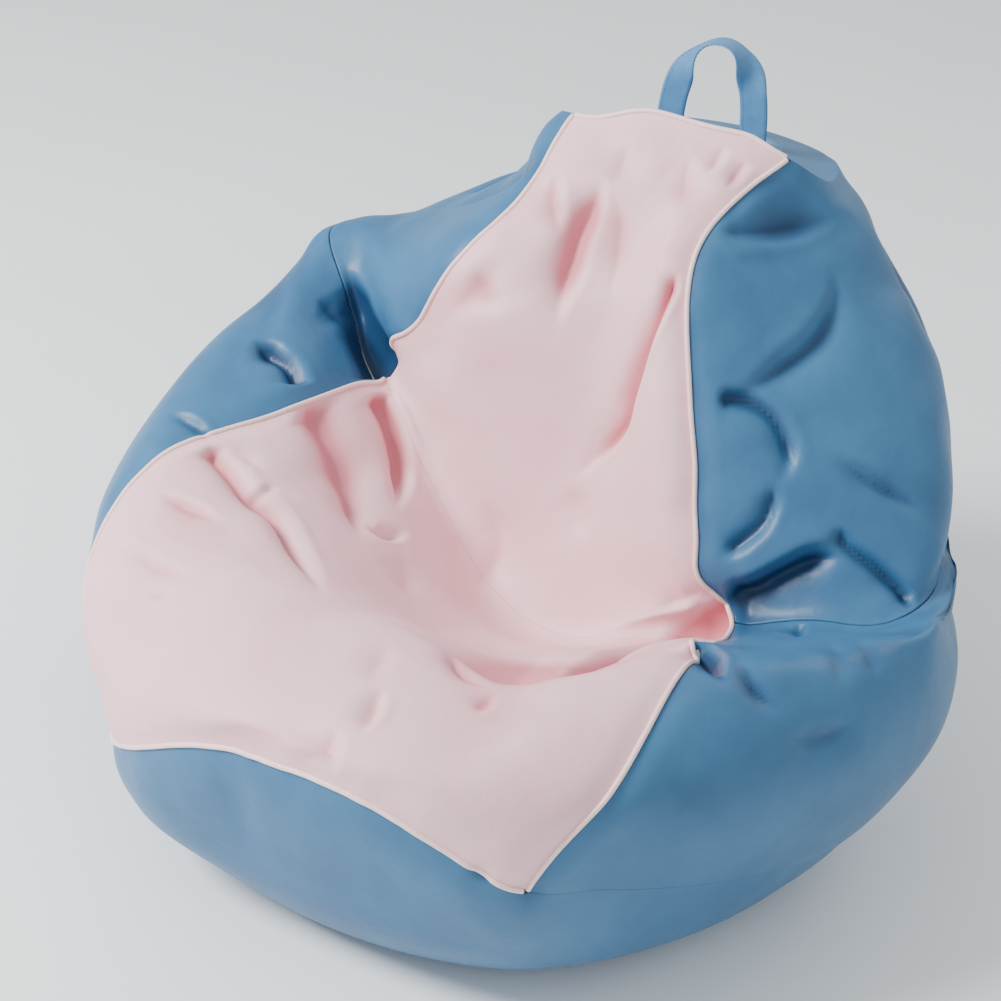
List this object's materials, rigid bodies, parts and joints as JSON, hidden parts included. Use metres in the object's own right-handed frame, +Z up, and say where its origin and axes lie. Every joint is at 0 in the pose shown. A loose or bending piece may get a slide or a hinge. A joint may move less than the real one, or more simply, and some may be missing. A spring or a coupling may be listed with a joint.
{
  "type": "bean bag chair",
  "caption": "Pear-shaped bean bag chair with a sat-in seat, contrast piped front panels, zipped base seam, liner bag, bead fill and a carry loop on top.",
  "frame": {"origin": "on the floor, under the middle of the chair's box", "axes": "+Z up, the chair faces -Y, +X is to the right as seen from the front"},
  "size_m": [0.868, 0.8774, 0.7281],
  "materials": {
    "blue_cloth": "smooth coated cloth with a soft sheen",
    "pink_cloth": "smooth coated cloth with a soft sheen",
    "pink_piping": "rolled cloth edging",
    "webbing": "woven flat webbing",
    "liner_cloth": "thin plain-woven lining",
    "beads": "loose foamed polystyrene beads",
    "zip_tape": "woven zip tape with moulded teeth",
    "zip_metal": "plated die-cast metal",
    "label_cloth": "blank satin ribbon"
  },
  "bodies": {
    "bag": {"base_panel": "blue_cloth", "seat_panel": "pink_cloth", "backrest_panel": "pink_cloth", "right_side_lower_panel": "blue_cloth", "right_side_upper_panel": "blue_cloth", "rear_lower_panel": "blue_cloth", "rear_upper_panel": "blue_cloth", "left_side_lower_panel": "blue_cloth", "left_side_upper_panel": "blue_cloth", "top_cap": "blue_cloth", "handle_patch": "webbing", "right_piping": "pink_piping", "left_piping": "pink_piping", "front_piping": "pink_piping", "top_piping": "pink_piping", "zip_upper_tape": "zip_tape", "zip_lower_tape": "zip_tape", "zip_left_stop": "zip_metal", "zip_right_stop": "zip_metal", "liner_zip_upper_tape": "zip_tape", "liner_zip_lower_tape": "zip_tape", "liner_bag": "liner_cloth", "bead_fill": "beads", "care_label": "label_cloth"},
    "handle": {"carry_handle": "webbing"},
    "slider": {"zip_slider": "zip_metal"},
    "pull": {"zip_pull": "zip_metal"},
    "liner_slider": {"liner_zip_slider": "zip_metal"}
  },
  "joints": [
    {"name": "handle_swing", "type": "hinge", "parent": "bag", "child": "handle", "pos_m": [-0.01375, 0.30689, 0.63085], "axis": [0.9875, 0.1282, 0.0916], "range_deg": [-85, 50]},
    {"name": "zip_slide", "type": "hinge", "parent": "bag", "child": "slider", "pos_m": [-0.006, -0.01325, 0.075], "axis": [0, 0, -1], "range_deg": [0, 69]},
    {"name": "pull_flip", "type": "hinge", "parent": "slider", "child": "pull", "pos_m": [-0.22915, 0.3148, 0.07472], "axis": [-0.2016, 0.2923, 0.9348], "range_deg": [0, 120]},
    {"name": "liner_zip_slide", "type": "hinge", "parent": "bag", "child": "liner_slider", "pos_m": [-0.006, -0.01325, 0.075], "axis": [0, 0, -1], "range_deg": [0, 69]}
  ]
}
